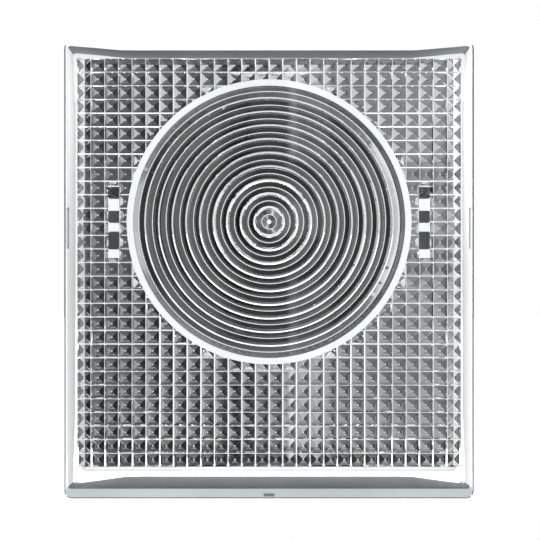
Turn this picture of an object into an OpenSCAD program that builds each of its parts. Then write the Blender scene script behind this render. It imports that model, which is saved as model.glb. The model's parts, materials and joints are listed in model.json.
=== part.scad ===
// Illuminated pedestrian push button with a clear prismatic palm tile.
// Every module draws in a panel frame: X right, Y up, Z out of the wall.
// upright() turns that frame so that the tile faces -Y and stands along +Z.

/* [Palm tile] */
// Width of the clear tile
tile_w = 86; // [84.5:0.5:92]
// Height of the clear tile
tile_h = 96; // [94:1:102]
// Thickness of the thin side walls
side_wall = 0.75; // [0.6:0.05:1]
// Thickness of the top wall
top_wall = 1.95; // [1.6:0.05:2]
// Thickness of the bottom wall
bottom_wall = 2.3; // [2:0.1:2.4]
// How far the rim stands in front of the tile's floor
rim_rise = 9.6; // [6:0.2:14]
// Thickness of the tile's clear floor
tile_floor = 2.4; // [2:0.1:3]
// Depth of the prisms on the back of the floor
prism_depth = 1.4; // [1:0.1:1.5]
// Pitch of the round ridges in the ring lens
ridge_pitch = 3; // [2.8:0.05:3.05]
// Number of round ridges
ridge_count = 10; // [6:1:10]
// Radius of the flat ring that closes the ring lens
ring_r = 31.2; // [30.6:0.1:31.4]
// Height of the ring lens above the middle of the tile
ring_up = 10.1; // [9:0.1:10.5]

/* [Travel] */
// How far the tile travels when it is pressed
press_travel = 3; // [2:0.5:3]
// Gap between the front frame and the moving carrier
press_gap = 7; // [6.6:0.2:8]

/* [Housing] */
// Width of the housing behind the tile
case_w = 78; // [77.5:0.5:80]
// Height of the housing
case_h = 86; // [86:0.5:88]
// Corner radius of the housing
case_r = 9; // [8:0.5:9.5]
// Wall thickness of the housing
case_wall = 2.5; // [2:0.1:2.6]
// Depth of the back shell
shell_depth = 30; // [30:0.5:34]
// Thickness of the foam gasket against the wall
gasket_t = 2; // [1:0.5:3]
// Thickness of the front frame
frame_t = 5; // [5:0.5:6]

/* [Mounting] */
// Distance between mounting holes across the housing
mount_dx = 56; // [52:1:57]
// Distance between mounting holes up the housing
mount_dy = 60; // [56:1:61]
// Radius of the mounting holes
mount_r = 2.25; // [1.6:0.05:2.6]
// Radius of the cable inlet
inlet_r = 4; // [2.5:0.25:4.25]

/* [Light] */
// Radius of the light window
window_r = 25; // [20:1:25]
// Radius of the light board
board_r = 26.5; // [26:0.25:26.5]

/* [Hidden] */
$fn = 48;
eps = 0.01;

// Stack of layers, measured out from the wall
shell_z = gasket_t;
shell_floor = 3;
floor_z = shell_z + shell_floor;
rim_z = shell_z + shell_depth;
seal_t = 1;
frame_z = rim_z + seal_t;
gap_z = frame_z + frame_t;
carrier_z = gap_z + press_gap;
carrier_t = 4;
diffuser_z = carrier_z + carrier_t;
diffuser_t = 2;
tips_z = diffuser_z + diffuser_t + 0.4;
base_z = tips_z + prism_depth;
face_z = base_z + tile_floor;
tile_z = face_z + rim_rise;
skirt_z = carrier_z + 0.5;

// Tile: walls, ring lens and latch tongues
tile_inner_w = tile_w - 2 * side_wall;
tile_inner_h = tile_h - top_wall - bottom_wall;
tile_inner_up = (bottom_wall - top_wall) / 2;
prism_w = 84;
prism_h = 89.4;
prism_up = 1.16;
tongue_x = 34;
tongue_w = 2.4;
tongue_h = 15.8;
fingers = [[-6, 3.7], [-0.1, 2.4], [5.2, 2.4]];
// Room round each finger in its slots
finger_gap = 0.15;
slot_w = 3;
hook_h = 1.5;
hook_gap = 0.1;
// Finger notches in the side walls, and the gate mark on the bottom wall
notch_w = 1.7;
notch_h = 8.6;
notch_up = 8.8;
notch_deep = 2;
gate_w = 2.2;
gate_h = 0.6;
gate_rise = 0.2;
tile_r = 1.5;
tile_inner_r = 0.7;

// Moving carrier
carrier_w = tile_inner_w - 0.8;
carrier_h = tile_inner_h - 0.8;
carrier_window_r = window_r + 2;

// Guide posts, bushes, clips and springs
post_x = 30;
post_y = 34;
post_r = 2.5;
post_end_z = 27;
collar_r = 3.3;
spigot_r = 2;
spigot_h = 3.5;
bush_r = 4;
bush_flange_r = 5.5;
bush_flange_t = 1.4;
clip_t = 0.7;
clip_gap = 0.05;
clip_r = 4.6;
groove_r = 1.9;
spring_r = 3.95;
wire_r = 0.4;
spring_turns = 3.5;

// Frame screws and bump stops
screw_x = 33.4;
screw_y = 19;
screw_r = 1.5;
screw_len = 11.5;
head_r = 3;
head_t = 2;
head_sink = 2.2;
pillar_r = 3.6;
stop_x = 20;
stop_y = 34.6;
stop_r = 3.5;
stop_stem_r = 1.5;
stop_stem = 3.4;
stop_room = 0.1;

// Light board and cup
board_z = 12;
board_t = 1.6;
board_screw_r = 22.8;
board_turns = [90, 210, 330];
led_w = 2.8;
cup_t = 1.4;
cup_rear_r = 16;

// Switch: body, lever and plunger
switch_y = -32.8;
switch_w = 20;
switch_t = 6.4;
switch_z = 11;
switch_h = 10;
pivot_x = -9;
pivot_z = switch_z + switch_h + 1.2;
lever_tilt = 12;
lever_t = 0.5;
lever_w = 3.8;
lever_len = 20.5;
plunger_x = -3.5;
plunger_r = 1.1;
pin_x = 8;
pin_r = 1.5;
contact_gap = 0.1;
bracket_screw_y = switch_y - 6;
bracket_screw_x = 7;
bracket_w = 22;
bracket_t = 1.2;
switch_hole_x = 4.75;
switch_hole_z = switch_z + 2.6;
terminal_row = [-7.6, 0, 7.6];
tab_w = 3.2;
tab_t = 0.5;
tab_len = 3.4;
pin_arm = pin_x - pivot_x;
plunger_arm = plunger_x - pivot_x;
pin_tip_z = pivot_z + pin_arm * tan(lever_tilt)
    + (lever_t / 2 + pin_r + contact_gap) / cos(lever_tilt);
plunger_top_z = pivot_z + plunger_arm * tan(lever_tilt)
    - lever_t / 2 / cos(lever_tilt) - contact_gap - plunger_r * tan(lever_tilt);

// Cable inlet and terminals
inlet_y = -21.5;
terminal_x = 16;
terminal_y = -22;
terminal_w = 12;
terminal_h = 10;
terminal_pitch = 3.8;
// Grommet: outer lip, neck and inner lip
lip_r = 7.4;
lip_hole_r = 7.6;
neck_r = 4.95;
neck_hole_r = 5;
collar_t = 1.5;
grommet_r = 6.8;

// ---- helpers ----

module upright() {
    rotate([90, 0, 0]) children();
}

module at_corners(x, y) {
    for (side = [-1, 1], level = [-1, 1])
        translate([side * x, level * y, 0]) children();
}

module rounded(w, h, r) {
    square([w - 2 * r, h], center = true);
    square([w, h - 2 * r], center = true);
    at_corners(w / 2 - r, h / 2 - r) circle(r);
}

module rounded_ring(w, h, r, wall) {
    difference() {
        rounded(w, h, r);
        rounded(w - 2 * wall, h - 2 * wall, r - wall);
    }
}

module slab(z, t) {
    translate([0, 0, z]) linear_extrude(t) children();
}

module rod(r, z, length) {
    translate([0, 0, z]) cylinder(r = r, h = length);
}

module tube(outer, inner, z, length) {
    difference() {
        rod(outer, z, length);
        rod(inner, z - eps, length + 2 * eps);
    }
}

// Rod along Y, centred on y
module cross_rod(r, x, z, y, length) {
    translate([x, y + length / 2, z]) rotate([90, 0, 0]) cylinder(r = r, h = length);
}

// Pan-head screw: the head's underside is at z, the shank runs back from it
module pan_screw(head_r, head_t, shank_r, length, z) {
    difference() {
        rod(head_r, z, head_t);
        for (turn = [0, 90])
            translate([0, 0, z + head_t])
                rotate(turn) cube([head_r * 1.2, head_r * 0.25, head_t], center = true);
    }
    rod(shank_r, z - length, length);
}

// Wire of radius wire swept along a helix of radius r between two heights
module helix(r, wire, low, high, turns) {
    sides = 8;
    steps = 20 * turns;
    points = [
        for (i = [0 : steps], k = [0 : sides - 1])
            let (
                turn = 360 * turns * i / steps,
                reach = r + wire * cos(360 * k / sides)
            )
            [
                reach * cos(turn),
                reach * sin(turn),
                low + (high - low) * i / steps + wire * sin(360 * k / sides)
            ]
    ];
    skin = [
        for (i = [0 : steps - 1], k = [0 : sides - 1])
            let (next = (k + 1) % sides)
            [i * sides + k, (i + 1) * sides + k, (i + 1) * sides + next, i * sides + next]
    ];
    start = [[for (k = [0 : sides - 1]) k]];
    end = [[for (k = [sides - 1 : -1 : 0]) steps * sides + k]];
    polyhedron(points, concat(start, skin, end), convexity = 8);
}

// ---- fixed parts ----

module wall_gasket() {
    color("dimgray") upright() difference() {
        slab(0, gasket_t) rounded(case_w - 1, case_h - 1, case_r - 0.5);
        at_corners(mount_dx / 2, mount_dy / 2) rod(mount_r, -1, gasket_t + 2);
        translate([0, inlet_y, 0]) rod(lip_hole_r, -1, gasket_t + 2);
    }
}

module back_shell() {
    color("gray") upright() difference() {
        union() {
            slab(shell_z, shell_floor) rounded(case_w, case_h, case_r);
            slab(floor_z - eps, rim_z - floor_z + eps)
                rounded_ring(case_w, case_h, case_r, case_wall);
            at_corners(screw_x, screw_y) rod(pillar_r, floor_z - eps, rim_z - floor_z + eps);
            translate([0, ring_up, 0]) for (turn = board_turns)
                rotate(turn) translate([board_screw_r, 0, 0])
                    rod(3, floor_z - eps, board_z - floor_z + eps);
        }
        at_corners(mount_dx / 2, mount_dy / 2) rod(mount_r, 0, floor_z + 1);
        translate([0, inlet_y, 0]) rod(neck_hole_r, 0, floor_z + 1);
        at_corners(screw_x, screw_y) rod(1.55, rim_z - 10, 11);
        translate([0, ring_up, 0]) for (turn = board_turns)
            rotate(turn) translate([board_screw_r, 0, 0]) rod(1.05, board_z - 6, 7);
        for (side = [-1, 1])
            translate([side * bracket_screw_x, bracket_screw_y, 0]) rod(0.85, floor_z - 2.4, 3);
    }
}

module cable_grommet() {
    color("black") upright() translate([0, inlet_y, 0]) difference() {
        union() {
            rod(lip_r, 0.5, shell_z - 0.5);
            rod(neck_r, shell_z - eps, shell_floor + 2 * eps);
            rod(grommet_r, floor_z, collar_t);
            translate([0, 0, floor_z + collar_t - eps]) cylinder(r1 = 6, r2 = 5.2, h = 1.5);
        }
        rod(inlet_r, 0, floor_z + 4);
    }
}

module frame_seal() {
    color("black") upright() difference() {
        slab(rim_z, seal_t) rounded_ring(case_w - 0.6, case_h - 0.6, case_r - 0.3, 2);
        at_corners(screw_x, screw_y) rod(1.8, rim_z - 1, 3);
    }
}

module front_frame() {
    color("gray") upright() difference() {
        slab(frame_z, frame_t) rounded(case_w, case_h, case_r);
        translate([0, ring_up, 0]) rod(window_r, frame_z - 1, frame_t + 2);
        at_corners(post_x, post_y) rod(bush_r, frame_z - 1, frame_t + 2);
        at_corners(screw_x, screw_y) {
            rod(1.7, frame_z - 1, frame_t + 2);
            rod(head_r + 0.3, gap_z - head_sink, 3);
        }
        at_corners(stop_x, stop_y) rod(1.55, gap_z - 3.5, 4);
        translate([pin_x, switch_y, 0]) {
            rod(2.2, frame_z - 1, 3);
            rod(3.05, frame_z + 1, frame_t);
        }
    }
}

module frame_screws() {
    color("silver") upright() at_corners(screw_x, screw_y)
        pan_screw(head_r, head_t, screw_r, screw_len, gap_z - head_sink);
}

module guide_bushes() {
    color("ivory") upright() at_corners(post_x, post_y) difference() {
        union() {
            rod(bush_flange_r, frame_z - bush_flange_t, bush_flange_t);
            rod(bush_r - 0.02, frame_z - eps, frame_t + eps);
        }
        rod(post_r + 0.05, frame_z - 3, frame_t + 4);
    }
}

module bump_stops() {
    color("dimgray") upright() at_corners(stop_x, stop_y) {
        rod(stop_r, gap_z, press_gap - press_travel - stop_room);
        rod(stop_stem_r, gap_z - stop_stem, stop_stem + eps);
    }
}

module bellows_seal() {
    color("dimgray") upright() slab(gap_z, press_gap - 0.02)
        rounded_ring(case_w - 3, case_h - 3, case_r - 1.5, 1.2);
}

module return_springs() {
    reach = wire_r + 0.05;
    color("gainsboro") upright() at_corners(post_x, post_y)
        helix(spring_r, wire_r, gap_z + reach, carrier_z - reach, spring_turns);
}

module pin_seal() {
    color("black") upright() translate([pin_x, switch_y, 0])
        tube(3, pin_r + 0.05, frame_z + 1, frame_t - 1);
}

module light_board() {
    color("darkgreen") upright() translate([0, ring_up, 0]) difference() {
        rod(board_r, board_z, board_t);
        for (turn = board_turns)
            rotate(turn) translate([board_screw_r, 0, 0]) rod(1.3, board_z - 1, board_t + 2);
    }
}

module leds() {
    color("lightyellow") upright() translate([0, ring_up, board_z + board_t]) {
        led();
        for (turn = [0 : 60 : 300]) rotate(turn) translate([6, 0, 0]) led();
        for (turn = [15 : 30 : 345]) rotate(turn) translate([12, 0, 0]) led();
    }
}

module led() {
    translate([-led_w / 2, -led_w / 2, 0]) cube([led_w, led_w, 1]);
    rod(1.1, 0.9, 0.5);
}

module light_cup() {
    cup_z = board_z + board_t;
    color("white") upright() translate([0, ring_up, 0]) rotate_extrude($fn = 96) polygon([
        [cup_rear_r, cup_z],
        [cup_rear_r + cup_t, cup_z],
        [window_r + cup_t, frame_z - 1.4],
        [window_r + 4, frame_z - 1.4],
        [window_r + 4, frame_z],
        [window_r, frame_z]
    ]);
}

module board_screws() {
    color("silver") upright() translate([0, ring_up, 0]) for (turn = board_turns)
        rotate(turn) translate([board_screw_r, 0, 0])
            pan_screw(2.1, 1.3, 1, 6, board_z + board_t);
}

module switch_body() {
    color("black") upright() difference() {
        union() {
            translate([-switch_w / 2, switch_y - switch_t / 2, switch_z])
                cube([switch_w, switch_t, switch_h]);
            for (side = [-1, 1]) {
                ear_y = switch_y + side * (switch_t / 2 - 0.55);
                cross_rod(1, pivot_x, pivot_z, ear_y, 1.1);
                translate([pivot_x - 1, ear_y - 0.55, pivot_z - 1.3]) cube([2, 1.1, 1.3]);
            }
        }
        cross_rod(0.55, pivot_x, pivot_z, switch_y, switch_t + 1);
        translate([plunger_x, switch_y, 0]) rod(plunger_r + 0.05, switch_z + 5.5, switch_h);
        for (side = [-1, 1])
            cross_rod(1.1, side * switch_hole_x, switch_hole_z, switch_y, switch_t + 1);
    }
}

module switch_terminals() {
    color("gold") upright() for (x = terminal_row)
        translate([x - tab_w / 2, switch_y - tab_t / 2, switch_z - tab_len]) difference() {
            cube([tab_w, tab_t, tab_len]);
            cross_rod(0.7, tab_w / 2, 1.4, tab_t / 2, 2);
        }
}

module switch_bracket() {
    plate_y = switch_y - switch_t / 2 - bracket_t;
    foot = 3.2;
    color("silver") upright() difference() {
        union() {
            translate([-bracket_w / 2, plate_y, floor_z])
                cube([bracket_w, bracket_t, switch_z + 5 - floor_z]);
            translate([-bracket_w / 2, plate_y - foot, floor_z])
                cube([bracket_w, foot + 0.1, bracket_t]);
        }
        for (side = [-1, 1])
            cross_rod(0.95, side * switch_hole_x, switch_hole_z, plate_y + bracket_t / 2, 3);
        for (side = [-1, 1])
            translate([side * bracket_screw_x, bracket_screw_y, 0]) rod(0.95, floor_z - 1, 4);
    }
}

module switch_screws() {
    head_y = switch_y + switch_t / 2 + 0.6;
    color("silver") upright() for (side = [-1, 1]) {
        cross_rod(1.8, side * switch_hole_x, switch_hole_z, head_y, 1.2);
        cross_rod(0.9, side * switch_hole_x, switch_hole_z, head_y - 4.6, 8.2);
    }
}

module bracket_screws() {
    color("silver") upright() for (side = [-1, 1])
        translate([side * bracket_screw_x, bracket_screw_y, 0])
            pan_screw(1.5, 1, 0.8, 3, floor_z + bracket_t);
}

module terminal_block() {
    color("seagreen") upright() difference() {
        translate([terminal_x - terminal_w / 2, terminal_y - 4, floor_z])
            cube([terminal_w, 8, terminal_h]);
        for (step = [-1, 0, 1]) translate([terminal_x + step * terminal_pitch, terminal_y, 0]) {
            rod(1.5, floor_z + 4, 10);
            cross_rod(1.2, 0, floor_z + 2.4, -2, 5);
        }
    }
}

module terminal_screws() {
    color("silver") upright() for (step = [-1, 0, 1])
        translate([terminal_x + step * terminal_pitch, terminal_y, 0])
            pan_screw(1.4, 1, 0.9, 4, floor_z + terminal_h - 2);
}

// ---- parts that move with the tile ----

module palm_tile() {
    color("lightcyan", 0.6) upright() {
        difference() {
            union() {
                tile_tray();
                prism_field();
                for (side = [-1, 1]) latch_tongue(side);
            }
            for (side = [-1, 1])
                translate([
                    side * (tile_inner_w / 2 - 0.5) - notch_w / 2,
                    notch_up - notch_h / 2,
                    tile_z - notch_deep
                ]) cube([notch_w, notch_h, notch_deep + 1]);
        }
        translate([-gate_w / 2, -tile_h / 2 + 0.9, tile_z - eps])
            cube([gate_w, gate_h, gate_rise]);
    }
}

module tile_tray() {
    difference() {
        slab(skirt_z, tile_z - skirt_z) rounded(tile_w, tile_h, tile_r);
        slab(face_z, rim_rise + 1) tile_opening();
        slab(skirt_z - 1, base_z - skirt_z + 1) tile_opening();
    }
}

module tile_opening() {
    translate([0, tile_inner_up]) rounded(tile_inner_w, tile_inner_h, tile_inner_r);
}

// Slab that holds the prisms, with the round ridges of the ring lens in its hole
module prism_field() {
    difference() {
        translate([-prism_w / 2, prism_up - prism_h / 2, tips_z])
            cube([prism_w, prism_h, prism_depth + eps]);
        translate([0, ring_up, 0]) rod(ring_r, tips_z - 1, prism_depth + 1 - eps);
        for (side = [-1, 1])
            translate([side * tongue_x - tongue_w / 2, ring_up - tongue_h / 2, tips_z - 1])
                cube([tongue_w, tongue_h, prism_depth + 1 - eps]);
    }
    translate([0, ring_up, 0]) for (ridge = [0 : ridge_count - 1])
        rotate_extrude($fn = 96) polygon([
            [ridge * ridge_pitch, base_z + eps],
            [ridge * ridge_pitch, base_z],
            [(ridge + 0.5) * ridge_pitch, tips_z],
            [(ridge + 1) * ridge_pitch, base_z],
            [(ridge + 1) * ridge_pitch, base_z + eps]
        ]);
}

// Three fingers through the diffuser and the carrier, hooked behind the carrier
module latch_tongue(side) {
    hook_z = carrier_z - hook_h - hook_gap;
    for (finger = fingers) translate([side * tongue_x, ring_up + finger[0], hook_z]) {
        translate([-tongue_w / 2, 0, 0]) cube([tongue_w, finger[1], base_z - hook_z + eps]);
        translate([side - 1, 0, 0]) cube([2, finger[1], hook_h]);
    }
}

module tongue_slots(z, t) {
    for (side = [-1, 1], finger = fingers)
        translate([side * tongue_x - slot_w / 2, ring_up + finger[0] - finger_gap, z - 1])
            cube([slot_w, finger[1] + 2 * finger_gap, t + 2]);
}

module diffuser() {
    color("white") upright() difference() {
        translate([-prism_w / 2, prism_up - prism_h / 2, diffuser_z])
            cube([prism_w, prism_h, diffuser_t]);
        tongue_slots(diffuser_z, diffuser_t);
    }
}

module carrier() {
    color("whitesmoke") upright() difference() {
        slab(carrier_z, carrier_t) translate([0, tile_inner_up]) rounded(carrier_w, carrier_h, tile_r);
        translate([0, ring_up, 0]) rod(carrier_window_r, carrier_z - 1, carrier_t + 2);
        tongue_slots(carrier_z, carrier_t);
        at_corners(post_x, post_y) rod(spigot_r + 0.03, carrier_z - 1, spigot_h + 1.1);
        translate([pin_x, switch_y, 0]) rod(spigot_r + 0.03, carrier_z - 1, spigot_h + 1.1);
    }
}

module guide_posts() {
    groove_z = frame_z - bush_flange_t - clip_t - 2 * clip_gap;
    color("silver") upright() at_corners(post_x, post_y) {
        rod(post_r, post_end_z, groove_z - post_end_z);
        rod(groove_r, groove_z - eps, clip_t + clip_gap + 2 * eps);
        rod(post_r, groove_z + clip_t + clip_gap, carrier_z - groove_z - clip_t - clip_gap);
        rod(collar_r, carrier_z - 1, 1);
        rod(spigot_r, carrier_z - eps, spigot_h);
    }
}

module retaining_clips() {
    clip_z = frame_z - bush_flange_t - clip_t - clip_gap - 0.02;
    color("silver") upright() at_corners(post_x, post_y) difference() {
        tube(clip_r, groove_r + 0.03, clip_z, clip_t - 0.01);
        translate([0, -1.5, clip_z - 1]) cube([clip_r + 1, 3, 3]);
    }
}

module actuator_pin() {
    color("silver") upright() translate([pin_x, switch_y, 0]) {
        translate([0, 0, pin_tip_z]) sphere(pin_r);
        rod(pin_r, pin_tip_z, carrier_z - pin_tip_z);
        rod(collar_r, carrier_z - 1, 1);
        rod(spigot_r, carrier_z - eps, spigot_h);
    }
}

// ---- parts of the switch that move on their own ----

module switch_lever() {
    color("gainsboro") upright() {
        translate([pivot_x, switch_y - lever_w / 2, pivot_z]) rotate([0, -lever_tilt, 0])
            translate([0, 0.2, -lever_t / 2]) cube([lever_len, lever_w - 0.4, lever_t]);
        cross_rod(0.9, pivot_x, pivot_z, switch_y, lever_w);
        cross_rod(0.5, pivot_x, pivot_z, switch_y, switch_t - 0.1);
    }
}

module switch_plunger() {
    color("firebrick") upright() translate([plunger_x, switch_y, 0])
        rod(plunger_r, switch_z + 7, plunger_top_z - switch_z - 7);
}

wall_gasket();
back_shell();
cable_grommet();
frame_seal();
front_frame();
frame_screws();
guide_bushes();
bump_stops();
bellows_seal();
return_springs();
pin_seal();
light_board();
leds();
light_cup();
board_screws();
switch_body();
switch_terminals();
switch_bracket();
switch_screws();
bracket_screws();
terminal_block();
terminal_screws();
palm_tile();
diffuser();
carrier();
guide_posts();
retaining_clips();
actuator_pin();
switch_lever();
switch_plunger();
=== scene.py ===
import json
import math

import bmesh
import bpy
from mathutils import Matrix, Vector


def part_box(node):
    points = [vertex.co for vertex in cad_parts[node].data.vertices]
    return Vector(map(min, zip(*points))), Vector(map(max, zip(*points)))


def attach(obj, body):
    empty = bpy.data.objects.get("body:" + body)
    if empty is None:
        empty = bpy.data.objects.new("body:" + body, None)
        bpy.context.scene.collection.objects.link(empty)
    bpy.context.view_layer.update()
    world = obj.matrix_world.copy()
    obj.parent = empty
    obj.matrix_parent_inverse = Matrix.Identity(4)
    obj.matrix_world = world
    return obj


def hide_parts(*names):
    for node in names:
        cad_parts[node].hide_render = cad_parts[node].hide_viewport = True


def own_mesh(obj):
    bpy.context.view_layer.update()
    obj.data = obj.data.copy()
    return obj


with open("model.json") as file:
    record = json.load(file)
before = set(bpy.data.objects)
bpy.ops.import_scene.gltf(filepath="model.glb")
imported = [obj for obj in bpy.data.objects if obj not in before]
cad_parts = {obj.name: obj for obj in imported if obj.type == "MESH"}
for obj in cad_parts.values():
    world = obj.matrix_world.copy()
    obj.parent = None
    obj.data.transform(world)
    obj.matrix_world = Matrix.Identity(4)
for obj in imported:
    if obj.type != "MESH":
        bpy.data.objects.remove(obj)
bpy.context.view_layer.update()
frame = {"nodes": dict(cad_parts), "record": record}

# The panel frame, in millimetres: x to the right, up, and out of the wall.
MM = 0.001
TILE_LOW, TILE_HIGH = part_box("palm_tile")
GATE_RISE = 0.2
HOOKS_BEHIND_SKIRT = 2.1
RIM_OUT = -TILE_LOW[1] / MM - GATE_RISE
SKIRT_OUT = -TILE_HIGH[1] / MM + HOOKS_BEHIND_SKIRT
HALF_W = TILE_HIGH[0] / MM
HALF_H = TILE_HIGH[2] / MM
SIDE_WALL, TOP_WALL, BOTTOM_WALL = 0.75, 1.95, 2.3
OUTER_R, INNER_R = 1.5, 0.8
RIM_RISE, FLOOR_T = 9.6, 2.4
FACE_OUT = RIM_OUT - RIM_RISE
BASE_OUT = FACE_OUT - FLOOR_T
BURIED = 0.3
NOTCH_X, NOTCH_UP, NOTCH_DEPTH = (41.6, 42.6), (4.5, 13.1), 2
GATE_X, GATE_ABOVE, GATE_ROOT = (-1.1, 1.1), (0.6, 1.1), 0.3

# Prism field and ring lens on the back of the tile's floor.
CELL_W, CELL_H = 3.0, 2.98
COLUMNS, ROWS_ABOVE, ROWS_BELOW = 28, 12, 18
LAND, TIP = 0.1, 0.25
CUT_DEPTH, CUT_ROOM = 4, 1
PRISM_SLOPE = math.tan(math.radians(44.5))
RING_UP, RING_R, RING_FIELD_R = 10.1, 29.8, 31.2
RIDGE_FLAT, RIDGE_PITCH, FIRST_RIDGE, RIDGES = 0.16, 1.5, 1.6, 19
RING_SLOPE = math.tan(math.radians(42))
LATCH_X, LATCH_W, LATCH_H = 34, 2.4, 15.8
FINGERS = ((-6, -2.3), (-0.1, 2.3), (5.2, 7.6))

# The gap behind the tile that closes when it is pressed.
FRAME_OUT = -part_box("front_frame")[0][1] / MM
CARRIER_OUT = -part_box("carrier")[1][1] / MM
POST_X, POST_UP = 30, 34
SPRING_R, WIRE_R = 3.95, 0.4
BELLOWS = [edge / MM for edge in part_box("bellows_seal")[1]]
BELLOWS_R = 7.5

# Materials and studio.
RELIEF = 0.1 * MM
BOARD_OUT, BOARD_UP, BOARD_HALF, BOARD_REACH = 360, 10.3, 190, 100
FLOOR_REACH, FLOOR_AHEAD = 0.4, 0.012


def panel(x, up, out):
    """A panel-frame point in millimetres as a world point in metres."""
    return Vector((x * MM, -out * MM, up * MM))


def solid(name, points, faces):
    """A mesh object from panel-frame points."""
    mesh = bpy.data.meshes.new(name)
    mesh.from_pydata([panel(*p) for p in points], [], faces)
    sorted_out = bmesh.new()
    sorted_out.from_mesh(mesh)
    bmesh.ops.recalc_face_normals(sorted_out, faces=sorted_out.faces)
    sorted_out.to_mesh(mesh)
    sorted_out.free()
    made = bpy.data.objects.new(name, mesh)
    bpy.context.scene.collection.objects.link(made)
    return made


def combine(target, tool, operation):
    """Target becomes the union or difference of itself and the tool, which is used up."""
    step = target.modifiers.new("combine", "BOOLEAN")
    step.operation = operation
    step.solver = "MANIFOLD"
    step.object = tool
    shown = target.evaluated_get(bpy.context.evaluated_depsgraph_get())
    mesh = bpy.data.meshes.new_from_object(shown)
    target.modifiers.clear()
    target.data = mesh
    bpy.data.objects.remove(tool)


def boxes(name, spans):
    """Closed boxes, each from (x0, x1), (up0, up1), (out0, out1)."""
    points, faces = [], []
    quads = [(0, 1, 3, 2), (4, 6, 7, 5), (0, 4, 5, 1), (2, 3, 7, 6), (0, 2, 6, 4), (1, 5, 7, 3)]
    for xs, ups, outs in spans:
        first = len(points)
        points += [(x, up, out) for x in xs for up in ups for out in outs]
        faces += [[first + k for k in quad] for quad in quads]
    return solid(name, points, faces)


def loft(name, loops, capped):
    """A solid through loops of equal length: closed by two caps, or joined last to first."""
    count = len(loops[0])
    points = [p for loop in loops for p in loop]
    faces = []
    for k in range(len(loops) - 1 if capped else len(loops)):
        here, ahead = k * count, (k + 1) % len(loops) * count
        for i in range(count):
            j = (i + 1) % count
            faces.append([here + i, here + j, ahead + j, ahead + i])
    if capped:
        faces.append(list(reversed(range(count))))
        faces.append([(len(loops) - 1) * count + i for i in range(count)])
    return solid(name, points, faces)


def rounded(left, right, low, high, radius, sides=24, arc=6):
    """A rounded rectangle's (x, up) points, counterclockwise from its lower right corner."""
    points = []
    corners = [(right, low, -90), (right, high, 0), (left, high, 90), (left, low, 180)]
    for k, (cx, cy, start) in enumerate(corners):
        mx = cx - math.copysign(radius, cx)
        my = cy - math.copysign(radius, cy)
        for step in range(arc + 1):
            a = math.radians(start + 90 * step / arc)
            points.append((mx + radius * math.cos(a), my + radius * math.sin(a)))
        nx, ny, _ = corners[(k + 1) % 4]
        ex = nx - math.copysign(radius, nx)
        ey = ny - math.copysign(radius, ny)
        last = points[-1]
        end = (nx, ey) if k % 2 == 0 else (ex, ny)
        for step in range(1, sides):
            t = step / sides
            points.append((last[0] + (end[0] - last[0]) * t, last[1] + (end[1] - last[1]) * t))
    return points


def flared(loop, side, top, bottom, radius, taper=11.5):
    """The loop with its sides, top and bottom pushed outwards near the corners."""
    left, right = min(x for x, _ in loop), max(x for x, _ in loop)
    low, high = min(up for _, up in loop), max(up for _, up in loop)
    shaped = []
    for x, up in loop:
        from_side, from_end = min(x - left, right - x), min(up - low, high - up)
        near_x, near_up = max(0, 1 - from_side / taper), max(0, 1 - from_end / taper)
        grow = top if up > 0 else bottom
        dx = math.copysign(side * near_up, x) if from_side < radius + 1e-6 else 0
        dy = math.copysign(grow * near_x, up) if from_end < radius + 1e-6 else 0
        shaped.append((x + dx, up + dy))
    return shaped


# ---- the clear tile ----

def outer_loop(inset, out):
    """The tile's outline, drawn in by an inset."""
    wide, tall = HALF_W - inset, HALF_H - inset
    return [(x, up, out) for x, up in rounded(-wide, wide, -tall, tall, OUTER_R - inset)]


def inner_loop(grow, out, flare=(0, 0, 0), slope=0):
    """The inside of the tile's walls, grown, flared at its corners and sloped at top and bottom."""
    wide = HALF_W - SIDE_WALL + grow
    low = -HALF_H + BOTTOM_WALL - grow + slope
    high = HALF_H - TOP_WALL + grow - slope
    loop = rounded(-wide, wide, low, high, INNER_R + grow)
    return [(x, up, out) for x, up in flared(loop, *flare, INNER_R + grow)]


def tray():
    """The clear tray: skirt, walls, rim and a flat floor."""
    edge, lip, draft = 0.35, 0.16, 0.35
    rim_flare, floor_flare = (0, 1.0, 0), (0.45, 1.15, 1.6)
    return loft("palm_tile_clear", [
        inner_loop(0, BASE_OUT), inner_loop(0, SKIRT_OUT),
        outer_loop(0, SKIRT_OUT), outer_loop(0, RIM_OUT - edge), outer_loop(edge, RIM_OUT),
        inner_loop(lip, RIM_OUT, rim_flare), inner_loop(0, RIM_OUT - lip, rim_flare),
        inner_loop(0, FACE_OUT, floor_flare, draft),
    ], True)


def prisms():
    """Square pyramids on the back of the floor, one to a cell, with small flat tips."""
    points, faces = [], []
    half_x, half_up = (CELL_W - LAND) / 2, (CELL_H - LAND) / 2
    rise = (half_x - TIP / 2) * PRISM_SLOPE
    square = [(-1, -1), (1, -1), (1, 1), (-1, 1)]
    levels = [(half_x, half_up, BASE_OUT + BURIED), (half_x, half_up, BASE_OUT),
              (TIP / 2, TIP / 2, BASE_OUT - rise)]
    for column in range(COLUMNS):
        for row in range(-ROWS_BELOW, ROWS_ABOVE):
            x = (column - COLUMNS / 2 + 0.5) * CELL_W
            up = RING_UP + (row + 0.5) * CELL_H
            first = len(points)
            for wide, tall, out in levels:
                points += [(x + sx * wide, up + sy * tall, out) for sx, sy in square]
            for level in (0, 4):
                for k in range(4):
                    n = (k + 1) % 4
                    faces.append([first + level + j for j in (k, 4 + k, 4 + n, n)])
            faces.append([first + k for k in (0, 1, 2, 3)])
            faces.append([first + k for k in (11, 10, 9, 8)])
    return solid("prisms", points, faces)


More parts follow.
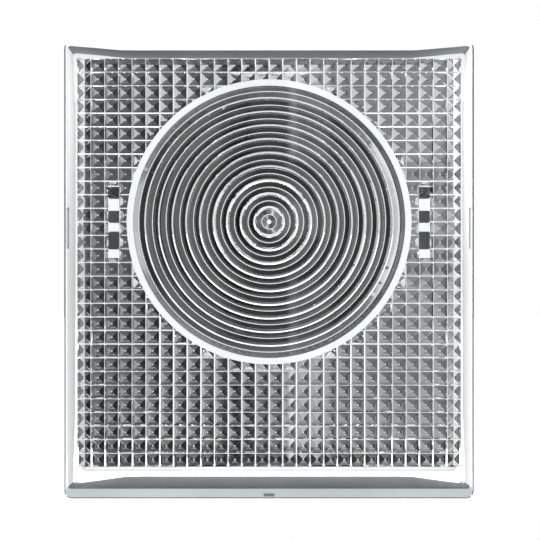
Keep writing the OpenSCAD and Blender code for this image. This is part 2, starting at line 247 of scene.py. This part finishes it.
def revolve(name, profile, segments=192):
    """A closed solid turned from (radius, out) points about the ring lens's axis."""
    points, faces, rings = [], [], []
    for radius, out in profile:
        count = segments if radius > 1e-6 else 1
        rings.append(list(range(len(points), len(points) + count)))
        for k in range(count):
            a = 2 * math.pi * k / segments
            points.append((radius * math.cos(a), RING_UP + radius * math.sin(a), out))
    for a, b in zip(rings, rings[1:]):
        for k in range(segments):
            n = (k + 1) % segments
            corners = [a[k % len(a)], a[n % len(a)], b[n % len(b)], b[k % len(b)]]
            faces.append(list(dict.fromkeys(corners)))
    return solid(name, points, faces)


def ring_lens():
    """Round V ridges with a narrow flat at each crest and valley, and a small boss."""
    deep = (RIDGE_PITCH - RIDGE_FLAT) * RING_SLOPE
    profile = [(0, BASE_OUT + BURIED), (RING_R, BASE_OUT + BURIED), (RING_R, BASE_OUT)]
    for k in reversed(range(RIDGES)):
        middle = FIRST_RIDGE + RIDGE_PITCH * k
        out = BASE_OUT - (deep if k % 2 == 0 else 0)
        profile += [(middle + RIDGE_FLAT / 2, out), (middle - RIDGE_FLAT / 2, out)]
    profile += [(0.5, BASE_OUT), (0.12, BASE_OUT), (0, BASE_OUT - 0.1)]
    return revolve("ring_lens", profile)


# Tones painted on faces of the clear tile: painted shade on the end walls, bottom lip and side edges,
# painted light on the lip and side walls; clear_plastic stays clear.
PAINTED_WALL_TONES = ("clear_plastic", "end_wall", "lip", "bottom_lip", "side_edge", "side_wall")


def painted_wall_tone(face):
    """The name in PAINTED_WALL_TONES of the painted tone that a face of the clear tile takes, picked by
    where the face is and which way it faces.
    """
    hair, skin, flat, steep, rim_edge, floor_lip = 0.01, 0.3, 0.9, 0.5, 0.4, 1
    x, out, up = face.center.x / MM, -face.center.y / MM, face.center.z / MM
    across, tall = HALF_W - abs(x), HALF_H - abs(up)
    sideways, forward, upright = abs(face.normal.x), -face.normal.y, abs(face.normal.z)
    if out < FACE_OUT + hair:
        return "clear_plastic"
    if out > RIM_OUT + hair:
        return "end_wall"
    if out < RIM_OUT - floor_lip and forward > flat:
        return "bottom_lip"
    if forward < steep and min(across, tall) <= skin:
        return "clear_plastic"
    if forward < steep:
        return "end_wall" if upright > steep else "side_wall"
    if forward < flat and sideways > upright:
        return "side_edge" if across < rim_edge else "lip"
    if forward < flat:
        return "end_wall" if up < 0 else "lip"
    return "bottom_lip" if up < 0 and tall < BOTTOM_WALL else "lip"


def latch_span(side):
    """The left and right of the latch block on one side."""
    return side * LATCH_X - LATCH_W / 2, side * LATCH_X + LATCH_W / 2


def prism_field():
    """The prisms, with room for the ring lens and the latch blocks."""
    field = prisms()
    deep, high = BASE_OUT - CUT_DEPTH, BASE_OUT + CUT_ROOM
    hole = [(0, high), (RING_FIELD_R, high), (RING_FIELD_R, deep), (0, deep)]
    combine(field, revolve("hole", hole), "DIFFERENCE")
    ups = (RING_UP - LATCH_H / 2, RING_UP + LATCH_H / 2)
    beds = [(latch_span(side), ups, (deep, high)) for side in (-1, 1)]
    combine(field, boxes("beds", beds), "DIFFERENCE")
    return field


def latch_fingers():
    """Three fingers on each side, from the floor to behind the skirt."""
    reach = (SKIRT_OUT - HOOKS_BEHIND_SKIRT, BASE_OUT + BURIED)
    spans = []
    for side in (-1, 1):
        for low, high in FINGERS:
            spans.append((latch_span(side), (RING_UP + low, RING_UP + high), reach))
    return boxes("fingers", spans)


def palm_tile():
    """The whole clear tile as one closed mesh."""
    tile = tray()
    combine(tile, prism_field(), "UNION")
    combine(tile, ring_lens(), "UNION")
    combine(tile, latch_fingers(), "UNION")
    deep = (RIM_OUT - NOTCH_DEPTH, RIM_OUT + CUT_ROOM)
    notches = [(sorted(side * x for x in NOTCH_X), NOTCH_UP, deep) for side in (-1, 1)]
    combine(tile, boxes("notches", notches), "DIFFERENCE")
    ups = [above - HALF_H for above in GATE_ABOVE]
    gate = (GATE_X, ups, (RIM_OUT - GATE_ROOT, RIM_OUT + GATE_RISE))
    combine(tile, boxes("gate", [gate]), "UNION")
    # Faces of the clear tile get painted shade or painted light by where they are and which way they
    # face.
    kinds = [PAINTED_WALL_TONES.index(painted_wall_tone(face)) for face in tile.data.polygons]
    tile.data.materials.clear()
    tile.data.polygons.foreach_set("material_index", kinds)
    soften(tile, 25)
    return tile


# ---- springs and bellows ----

def soften(thing, angle):
    """Smooth shading that keeps edges sharper than the angle, in degrees."""
    thing.data.shade_smooth()
    thing.data.set_sharp_from_angle(angle=math.radians(angle))


def tube(name, path, radius, sides=10):
    """A closed round wire along a path of panel-frame points."""
    loops = []
    for k, here in enumerate(path):
        ahead, back = path[min(k + 1, len(path) - 1)], path[max(k - 1, 0)]
        along = (Vector(ahead) - Vector(back)).normalized()
        side = along.cross(Vector((0, 0, 1))).normalized()
        up = along.cross(side)
        turns = [2 * math.pi * j / sides for j in range(sides)]
        loops.append([Vector(here) + radius * (side * math.cos(a) + up * math.sin(a)) for a in turns])
    return loft(name, loops, True)


def spring(name, x, up):
    """A compression spring whose first and last coils lie flat."""
    turns, flat_turns, steps, room = 4, 0.5, 28, 0.05
    low, high = FRAME_OUT + WIRE_R + room, CARRIER_OUT - WIRE_R - room
    path = []
    for k in range(turns * steps + 1):
        turn = k / steps
        share = min(max((turn - flat_turns) / (turns - 2 * flat_turns), 0), 1)
        a = 2 * math.pi * turn
        across, along = SPRING_R * math.cos(a), SPRING_R * math.sin(a)
        path.append((x + across, up + along, low + (high - low) * share))
    made = tube(name, path, WIRE_R)
    soften(made, 40)
    return made


def bellows():
    """A thin rubber ring with pleats between the front frame and the carrier."""
    room, wall, depth, lip, pleats = 0.02, 0.5, 0.65, 0.7, 4
    low, span = FRAME_OUT + room, CARRIER_OUT - FRAME_OUT - 2 * room
    line = [(0, 0), (lip, 0)]
    for k in range(pleats):
        line.append((lip + (span - 2 * lip) * (k + 0.5) / pleats, depth))
        line.append((lip + (span - 2 * lip) * (k + 1) / pleats, 0))
    line.append((span, 0))
    profile = line + [(out, inset + wall) for out, inset in reversed(line)]
    loops = []
    for out, inset in profile:
        wide, tall = BELLOWS[0] - inset, BELLOWS[2] - inset
        loop = rounded(-wide, wide, -tall, tall, BELLOWS_R - inset, 4, 10)
        loops.append([(x, up, low + out) for x, up in loop])
    made = loft("bellows", loops, False)
    soften(made, 30)
    return made


# ---- materials ----

def shade(name):
    """A new material, its nodes, its links and its main shader."""
    mat = bpy.data.materials.new(name)
    mat.use_nodes = True
    nodes = mat.node_tree.nodes
    return mat, nodes, mat.node_tree.links, nodes["Principled BSDF"]


def measured(nodes, links, source, span, result):
    """The source, mapped from the span to the result range."""
    node = nodes.new("ShaderNodeMapRange")
    for socket, value in zip(("From Min", "From Max", "To Min", "To Max"), (*span, *result)):
        node.inputs[socket].default_value = value
    links.new(source, node.inputs["Value"])
    return node.outputs["Result"]


def blended(nodes, links, factor, first, second):
    """A colour between two tones or colour sockets."""
    node = nodes.new("ShaderNodeMix")
    node.data_type = "RGBA"
    for socket, tone in ((node.inputs[6], first), (node.inputs[7], second)):
        if isinstance(tone, tuple):
            socket.default_value = (*tone, 1)
        else:
            links.new(tone, socket)
    links.new(factor, node.inputs["Factor"])
    return node.outputs[2]


def off_by(nodes, links, source, place):
    """How far the source is from a place, on either side."""
    result = source
    for step, operand in (("SUBTRACT", place), ("ABSOLUTE", 0)):
        node = nodes.new("ShaderNodeMath")
        node.operation = step
        links.new(result, node.inputs[0])
        node.inputs[1].default_value = operand
        result = node.outputs[0]
    return result


def scaled(nodes, links, colour, factor):
    """A colour socket times a factor."""
    product = nodes.new("ShaderNodeVectorMath")
    product.operation = "SCALE"
    links.new(colour, product.inputs[0])
    links.new(factor, product.inputs["Scale"])
    return product.outputs[0]


def noise(nodes, links, scale, stretch=(1, 1, 1), detail=4):
    """Noise in the piece's own space, stretched along its axes."""
    coords = nodes.new("ShaderNodeTexCoord")
    fit = nodes.new("ShaderNodeMapping")
    fit.inputs["Scale"].default_value = stretch
    grain = nodes.new("ShaderNodeTexNoise")
    grain.inputs["Scale"].default_value = scale
    grain.inputs["Detail"].default_value = detail
    links.new(coords.outputs["Object"], fit.inputs["Vector"])
    links.new(fit.outputs["Vector"], grain.inputs["Vector"])
    return grain.outputs["Fac"]


def rough_up(nodes, links, shader, height, strength):
    """Bump on the shader from a height."""
    bump = nodes.new("ShaderNodeBump")
    bump.inputs["Strength"].default_value = strength
    bump.inputs["Distance"].default_value = RELIEF
    links.new(height, bump.inputs["Height"])
    links.new(bump.outputs["Normal"], shader.inputs["Normal"])


def finish(name, tone, rough, grain=900, stretch=(1, 1, 1), mottle=0.08, relief=0.15, **settings):
    """A surface with grain in its relief, and slow variation in its tone and roughness."""
    mat, nodes, links, shader = shade(name)
    fine = noise(nodes, links, grain, stretch)
    broad = noise(nodes, links, 60, stretch, 2)
    dark, light = [tuple(min(c * (1 + side * mottle), 1) for c in tone) for side in (-1, 1)]
    factor = measured(nodes, links, broad, (0.35, 0.65), (0, 1))
    links.new(blended(nodes, links, factor, dark, light), shader.inputs["Base Color"])
    swing = (max(rough - 0.07, 0.01), min(rough + 0.07, 1))
    varied = measured(nodes, links, fine, (0.3, 0.7), swing)
    links.new(varied, shader.inputs["Roughness"])
    rough_up(nodes, links, shader, fine, relief)
    for key, value in settings.items():
        shader.inputs[key.replace("_", " ")].default_value = value
    return mat


def clear_plastic():
    """Clear moulded plastic with faint unevenness in its polish."""
    mat, nodes, links, shader = shade("clear_plastic")
    shader.inputs["Base Color"].default_value = (0.97, 0.985, 0.985, 1)
    shader.inputs["Transmission Weight"].default_value = 1
    shader.inputs["IOR"].default_value = 1.8
    broad = noise(nodes, links, 150)
    links.new(measured(nodes, links, broad, (0.3, 0.7), (0.01, 0.03)), shader.inputs["Roughness"])
    return mat


def painted_wall_shading(name, at_rim, at_floor, painted_glow=0):
    """A wall tone painted on the clear tile, satin in its roughness: painted shade from the rim tone to
    the floor tone with depth, painted light that makes it paler when high up, pale streaks, and a
    painted glow for light piped through the plastic.
    """
    mat, nodes, links, shader = shade(name)
    coords = nodes.new("ShaderNodeTexCoord")
    split = nodes.new("ShaderNodeSeparateXYZ")
    links.new(coords.outputs["Object"], split.inputs[0])
    # Painted shade: the tone goes from the rim tone to the floor tone with depth.
    depth = measured(nodes, links, split.outputs["Y"], (-RIM_OUT * MM, -FACE_OUT * MM), (0, 1))
    tone = blended(nodes, links, depth, at_rim, at_floor)
    # Painted light: the wall is paler the higher it stands.
    painted_top_light = measured(nodes, links, split.outputs["Z"], (0, 40 * MM), (0.95, 2.2))
    streaks = noise(nodes, links, 90, (1, 0.2, 0.2))
    pale = measured(nodes, links, streaks, (0.4, 0.75), (0, 0.3))
    toned = scaled(nodes, links, blended(nodes, links, pale, tone, at_floor), painted_top_light)
    links.new(toned, shader.inputs["Base Color"])
    shader.inputs["Roughness"].default_value = 0.5
    # Painted glow, standing in for light piped through the clear plastic.
    shader.inputs["Emission Color"].default_value = (1, 1, 1, 1)
    shader.inputs["Emission Strength"].default_value = painted_glow
    return mat


def printed_board():
    """Green solder mask over faint copper tracks."""
    mat, nodes, links, shader = shade("board")
    coords = nodes.new("ShaderNodeTexCoord")
    tracks = nodes.new("ShaderNodeTexBrick")
    tracks.inputs["Scale"].default_value = 260
    tracks.inputs["Mortar Size"].default_value = 0.06
    turn = nodes.new("ShaderNodeMapping")
    turn.inputs["Rotation"].default_value = (math.radians(90), 0, 0)
    links.new(coords.outputs["Object"], turn.inputs["Vector"])
    links.new(turn.outputs["Vector"], tracks.inputs["Vector"])
    links.new(blended(nodes, links, tracks.outputs["Fac"], (0.02, 0.14, 0.06), (0.05, 0.24, 0.11)),
              shader.inputs["Base Color"])
    rough_up(nodes, links, shader, tracks.outputs["Fac"], 0.3)
    shader.inputs["Roughness"].default_value = 0.35
    return mat


def finishes():
    """Every material slot's finish."""
    glow = {"Emission_Color": (0.95, 0.98, 1, 1)}
    return {
        "clear_plastic": clear_plastic(),
        # Painted glow: the opal diffuser glows so that it reads white behind the clear tile, standing in
        # for light that would reach it through the glass, and also for the button's backlight.
        "opal_plastic": finish("opal_plastic", (0.9, 0.91, 0.91), 0.6, mottle=0.02, relief=0.05,
                               Emission_Strength=0.92, **glow),
        "white_plastic": finish("white_plastic", (0.85, 0.86, 0.86), 0.45, mottle=0.03),
        "case_plastic": finish("case_plastic", (0.4, 0.42, 0.425), 0.5, grain=2200, relief=0.35,
                               mottle=0.05),
        "foam_rubber": finish("foam_rubber", (0.05, 0.05, 0.052), 0.9, grain=1500, relief=1.0,
                              mottle=0.1),
        "black_rubber": finish("black_rubber", (0.02, 0.02, 0.021), 0.65, mottle=0.2),
        "grey_rubber": finish("grey_rubber", (0.2, 0.21, 0.215), 0.6, mottle=0.1),
        "acetal": finish("acetal", (0.83, 0.82, 0.76), 0.3, stretch=(1, 12, 1), mottle=0.03),
        "black_plastic": finish("black_plastic", (0.025, 0.025, 0.028), 0.45, grain=2000, mottle=0.15),
        "green_plastic": finish("green_plastic", (0.06, 0.32, 0.17), 0.35, mottle=0.1),
        "red_plastic": finish("red_plastic", (0.55, 0.06, 0.05), 0.3, mottle=0.08),
        "board": printed_board(),
        "led": finish("led", (0.95, 0.9, 0.62), 0.25, mottle=0.05),
        "stainless": finish("stainless", (0.62, 0.63, 0.64), 0.28, stretch=(1, 15, 1), Metallic=1),
        "spring_steel": finish("spring_steel", (0.52, 0.53, 0.55), 0.32, stretch=(15, 1, 1), Metallic=1),
        "brass": finish("brass", (0.78, 0.6, 0.3), 0.3, mottle=0.12, Metallic=1),
    }


looks = finishes()
slots = {piece["node"]: piece["material_slot"] for piece in frame["record"]["subparts"]}
for node, thing in frame["nodes"].items():
    thing.data.materials.clear()
    thing.data.materials.append(looks[slots[node]])


def take_over(piece, node, body):
    """The piece stands for the CAD node: it joins the body, and the node is hidden."""
    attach(piece, body)
    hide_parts(node)


tile = palm_tile()
# Painted tones on the clear tile: end_wall is painted shade, dark from rim to floor; lip is painted
# white light; bottom_lip is painted grey shade; side_edge is a painted dark reflection line; side_wall
# is painted light with a painted glow.
walls = {
    "clear_plastic": looks["clear_plastic"],
    "end_wall": painted_wall_shading("end_wall", (0.075, 0.083, 0.083), (0.2, 0.222, 0.222)),
    "lip": finish("lip", (0.9, 0.91, 0.91), 0.5, mottle=0.015),
    "bottom_lip": finish("bottom_lip", (0.29, 0.32, 0.325), 0.45, mottle=0.05),
    "side_edge": finish("side_edge", (0.03, 0.033, 0.033), 0.4, mottle=0.1),
    "side_wall": painted_wall_shading("side_wall", (0.95, 0.96, 0.96), (0.45, 0.47, 0.47), 0.32),
}
for kind in PAINTED_WALL_TONES:
    tile.data.materials.append(walls[kind])
take_over(tile, "palm_tile", "tile")

gap_parts = [spring(f"return_spring_{k}", sx * POST_X, sy * POST_UP)
             for k, (sx, sy) in enumerate([(-1, -1), (1, -1), (1, 1), (-1, 1)])]
for part in gap_parts:
    part.data.materials.append(looks["spring_steel"])
    take_over(part, "return_springs", "housing")
seal = bellows()
seal.data.materials.append(looks["grey_rubber"])
take_over(seal, "bellows_seal", "housing")
for part in gap_parts + [seal]:
    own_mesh(part)


# ---- studio ----

def light(name, place, aim, size, power):
    """A soft area light that faces the aim point and isn't seen in reflections."""
    data = bpy.data.lights.new(name, "AREA")
    data.shape = "RECTANGLE"
    data.size = size[0]
    data.size_y = size[1]
    data.energy = power
    lamp = bpy.data.objects.new(name, data)
    lamp.location = place
    lamp.rotation_euler = (Vector(aim) - Vector(place)).to_track_quat("-Z", "Y").to_euler()
    lamp.visible_glossy = False
    lamp.visible_transmission = False
    bpy.context.scene.collection.objects.link(lamp)


def plane(name, corners, mat):
    """A stage plane through four corners."""
    mesh = bpy.data.meshes.new(name)
    mesh.from_pydata(corners, [], [(0, 1, 2, 3)])
    mesh.materials.append(mat)
    made = bpy.data.objects.new(name, mesh)
    bpy.context.scene.collection.objects.link(made)
    return made


def banded(nodes, links, source, stops):
    """Grey tones along the source, each stop a (place, tone) in millimetres."""
    share = measured(nodes, links, source, (-BOARD_REACH * MM, BOARD_REACH * MM), (0, 1))
    tones = nodes.new("ShaderNodeValToRGB")
    elements = tones.color_ramp.elements
    while len(elements) < len(stops):
        elements.new(0.5)
    for element, (place, tone) in zip(elements, stops):
        element.position = (place + BOARD_REACH) / (2 * BOARD_REACH)
        element.color = (tone, tone * 1.04, tone * 1.04, 1)
    links.new(share, tones.inputs["Fac"])
    return tones.outputs["Color"]


def board_middle(nodes, links, across, upward):
    """The board's tones in its middle, softer in two bands above and below its centre line."""
    sharp = [(-90, 0.12), (-25.5, 0.16), (-21, 0.02), (-10, 0.01), (-8, 0.12), (8, 0.14),
             (10.3, 0.85), (12.4, 0.85), (13.4, 0.48), (27, 0.45), (29, 0.14), (90, 0.17)]
    soft = [(-30, 0.08), (-8, 0.07), (8, 0.14), (30, 0.2), (62, 0.22), (90, 0.33)]
    band_up, band_edge = 18, (9, 11)
    height = measured(nodes, links, upward, (-40 * MM, 90 * MM), (0.85, 1.5))
    sharp_tone = banded(nodes, links, across, sharp)
    soft_tone = banded(nodes, links, across, soft)
    from_centre = off_by(nodes, links, upward, BOARD_UP * MM)
    from_band = off_by(nodes, links, from_centre, band_up * MM)
    softened = measured(nodes, links, from_band, [edge * MM for edge in band_edge], (1, 0))
    return scaled(nodes, links, blended(nodes, links, softened, sharp_tone, soft_tone), height)


def front_board():
    """A graded board in front of the part, seen only in its prisms: dark at left, light at right."""
    mat = bpy.data.materials.new("front_board")
    mat.use_nodes = True
    nodes, links = mat.node_tree.nodes, mat.node_tree.links
    nodes.clear()
    coords = nodes.new("ShaderNodeTexCoord")
    split = nodes.new("ShaderNodeSeparateXYZ")
    links.new(coords.outputs["Object"], split.inputs[0])
    inside = board_middle(nodes, links, split.outputs["X"], split.outputs["Z"])
    ring_tones, ring_edge = [(-90, 0.004), (-30, 0.018), (30, 0.03), (90, 0.11)], (109.3, 110.3)
    outside = banded(nodes, links, split.outputs["X"], ring_tones)
    centre = nodes.new("ShaderNodeVectorMath")
    centre.operation = "DISTANCE"
    links.new(coords.outputs["Object"], centre.inputs[0])
    centre.inputs[1].default_value = panel(0, BOARD_UP, BOARD_OUT)
    from_centre = centre.outputs["Value"]
    beyond = measured(nodes, links, from_centre, [edge * MM for edge in ring_edge], (0, 1))
    glow = nodes.new("ShaderNodeEmission")
    links.new(blended(nodes, links, beyond, inside, outside), glow.inputs["Color"])
    shown = nodes.new("ShaderNodeOutputMaterial")
    links.new(glow.outputs[0], shown.inputs["Surface"])
    sides = [(-1, -1), (1, -1), (1, 1), (-1, 1)]
    corners = [panel(x * BOARD_HALF, up * BOARD_HALF, BOARD_OUT) for x, up in sides]
    board = plane("front_board", corners, mat)
    board.visible_camera = False
    board.visible_shadow = False
    board.visible_diffuse = False


def studio_world():
    """White to the eye and behind the part, dim in front of it."""
    world = bpy.data.worlds.new("studio")
    bpy.context.scene.world = world
    world.use_nodes = True
    nodes, links = world.node_tree.nodes, world.node_tree.links
    nodes.clear()
    path = nodes.new("ShaderNodeLightPath")
    coords = nodes.new("ShaderNodeTexCoord")
    split = nodes.new("ShaderNodeSeparateXYZ")
    links.new(coords.outputs["Generated"], split.inputs[0])
    behind = measured(nodes, links, split.outputs["Y"], (-0.5, 0.1), (0.1, 1))
    sky = nodes.new("ShaderNodeBackground")
    links.new(behind, sky.inputs["Color"])
    white = nodes.new("ShaderNodeBackground")
    white.inputs["Color"].default_value = (1, 1, 1, 1)
    mix = nodes.new("ShaderNodeMixShader")
    links.new(path.outputs["Is Camera Ray"], mix.inputs["Fac"])
    links.new(sky.outputs[0], mix.inputs[1])
    links.new(white.outputs[0], mix.inputs[2])
    shown = nodes.new("ShaderNodeOutputWorld")
    links.new(mix.outputs[0], shown.inputs["Surface"])


def pale_floor():
    """A pale floor just under the part."""
    reach, down, front = FLOOR_REACH, -HALF_H * MM, TILE_LOW[1] - FLOOR_AHEAD
    mat = finish("pale_floor", (0.8, 0.8, 0.8), 0.3, mottle=0.01, relief=0.02,
                 Emission_Color=(1, 1, 1, 1), Emission_Strength=0.85)
    plane("floor", [(-reach, front, down), (reach, front, down), (reach, reach, down),
                    (-reach, reach, down)], mat)


front_board()
studio_world()
pale_floor()
middle = (0, -0.05, 0)
light("key", (-0.5, -0.5, 0.25), middle, (0.4, 0.5), 3)
light("fill", (0, -0.8, 0.3), middle, (0.6, 0.4), 6)

scene = bpy.context.scene
scene.view_settings.view_transform = "Standard"
scene.cycles.max_bounces = 16
scene.cycles.transmission_bounces = 16
scene.cycles.glossy_bounces = 8

CAMERA_X, CAMERA_UP, CAMERA_AHEAD = 0.2, 10.49, 251
lens = bpy.data.cameras.new("camera")
lens.lens = 79.8
lens.sensor_width = 36
lens.shift_y = -0.0926
lens.clip_start = 0.01
camera = bpy.data.objects.new("camera", lens)
camera.location = panel(CAMERA_X, CAMERA_UP, RIM_OUT + CAMERA_AHEAD)
camera.rotation_euler = (math.radians(90), 0, 0)
scene.collection.objects.link(camera)
scene.camera = camera
